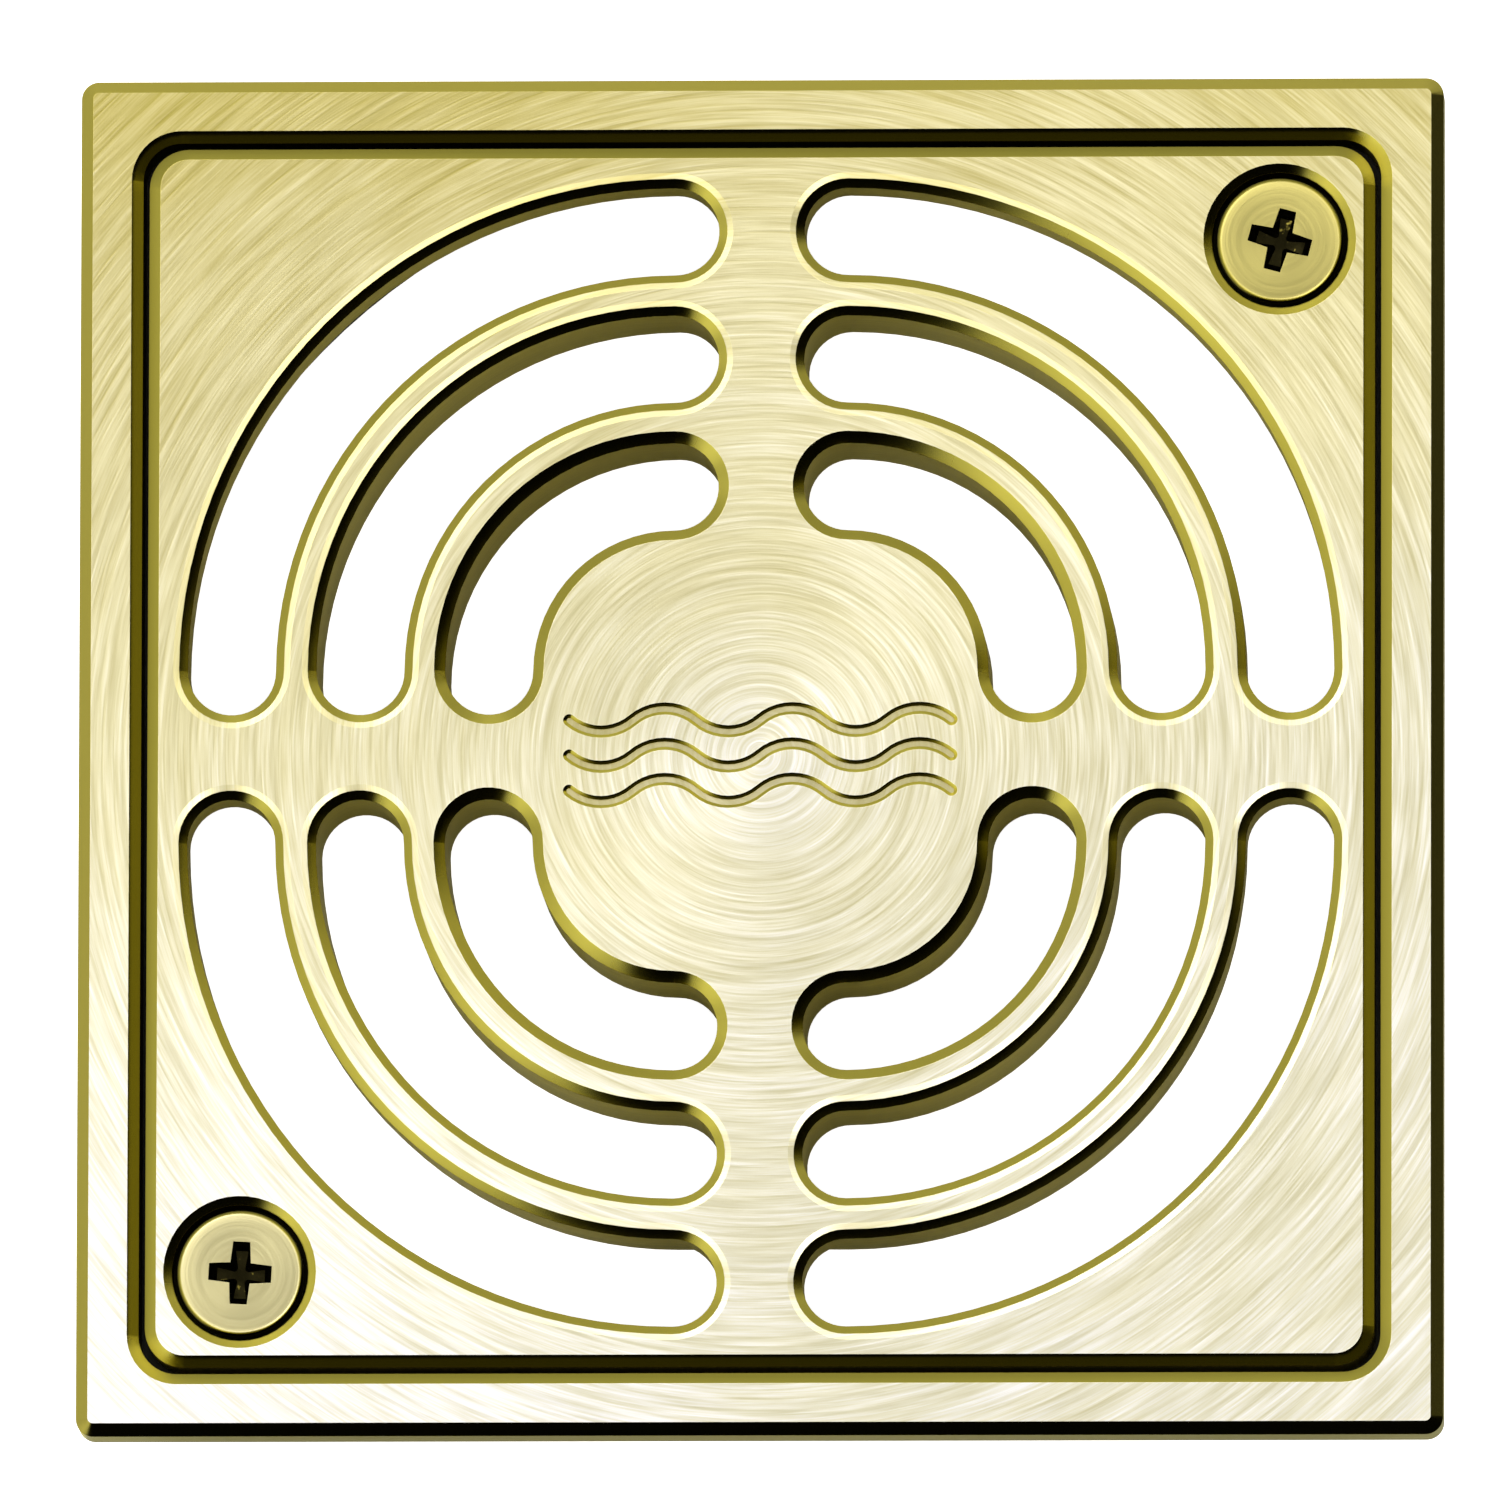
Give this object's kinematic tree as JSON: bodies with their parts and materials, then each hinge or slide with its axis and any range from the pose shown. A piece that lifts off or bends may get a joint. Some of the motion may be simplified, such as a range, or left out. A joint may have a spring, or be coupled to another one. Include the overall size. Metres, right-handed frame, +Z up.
{
  "type": "floor drain grate",
  "caption": "Square brass floor drain grate with ring slots in a bevelled frame, screwed down over a round throat with a threaded height adjuster.",
  "frame": {"origin": "middle of the underside of the base gasket, the lowest face of the part", "axes": "+Z up through the throat to the walked-on face; +X and +Y along the sides of the square, with the two grate screws on the +X+Y and -X-Y corners"},
  "size_m": [0.1, 0.1, 0.017],
  "materials": {
    "satin_brass": "brushed satin, fine rings turned about the centre, on light gold brass",
    "screw_brass": "turned and lightly polished",
    "cast_brass": "machined casting, dull",
    "stainless": "bright drawn",
    "black_plastic": "moulded, fine grain",
    "nylon": "natural nylon",
    "seal_rubber": "smooth moulded rubber"
  },
  "bodies": {
    "base": {"base_ring": "cast_brass", "base_gasket": "seal_rubber"},
    "frame": {"frame": "satin_brass", "frame_gasket": "seal_rubber", "carrier": "black_plastic", "carrier_screws": "stainless", "insert_ne": "screw_brass", "insert_sw": "screw_brass", "cushion_ne": "seal_rubber", "cushion_nw": "seal_rubber", "cushion_se": "seal_rubber", "cushion_sw": "seal_rubber", "slip_ring": "nylon", "retaining_ring": "stainless"},
    "collar": {"adjusting_collar": "cast_brass"},
    "grate": {"grate": "satin_brass"},
    "washer_ne": {"screw_washer_ne": "nylon"},
    "washer_sw": {"screw_washer_sw": "nylon"},
    "screw_ne": {"grate_screw_ne": "screw_brass"},
    "screw_sw": {"grate_screw_sw": "screw_brass"}
  },
  "joints": [
    {"name": "frame_height", "type": "slide", "parent": "base", "child": "frame", "axis": [0, 0, 1], "range_m": [0, 0.003]},
    {"name": "collar_turn", "type": "hinge", "parent": "frame", "child": "collar", "pos_m": [0, 0, 0.0085], "axis": [0, 0, 1], "range_deg": [0, 720]},
    {"name": "grate_lift", "type": "slide", "parent": "frame", "child": "grate", "axis": [0, 0, 1], "range_m": [0, 0.03]},
    {"name": "washer_ne_rise", "type": "slide", "parent": "grate", "child": "washer_ne", "axis": [0, 0, 1], "range_m": [0, 0.0077]},
    {"name": "screw_ne_turn", "type": "hinge", "parent": "washer_ne", "child": "screw_ne", "pos_m": [0.038, 0.038, 0.0142], "axis": [0, 0, 1], "range_deg": [0, 3960]},
    {"name": "washer_sw_rise", "type": "slide", "parent": "grate", "child": "washer_sw", "axis": [0, 0, 1], "range_m": [0, 0.0077]},
    {"name": "screw_sw_turn", "type": "hinge", "parent": "washer_sw", "child": "screw_sw", "pos_m": [-0.038, -0.038, 0.0142], "axis": [0, 0, 1], "range_deg": [0, 3960]}
  ],
  "couplings": [
    {"joint": "frame_height", "follows": "collar_turn", "m_per_rad": 0.00023873},
    {"joint": "screw_ne_turn", "follows": "washer_ne_rise", "rad_per_m": 8976},
    {"joint": "screw_sw_turn", "follows": "washer_sw_rise", "rad_per_m": 8976}
  ]
}
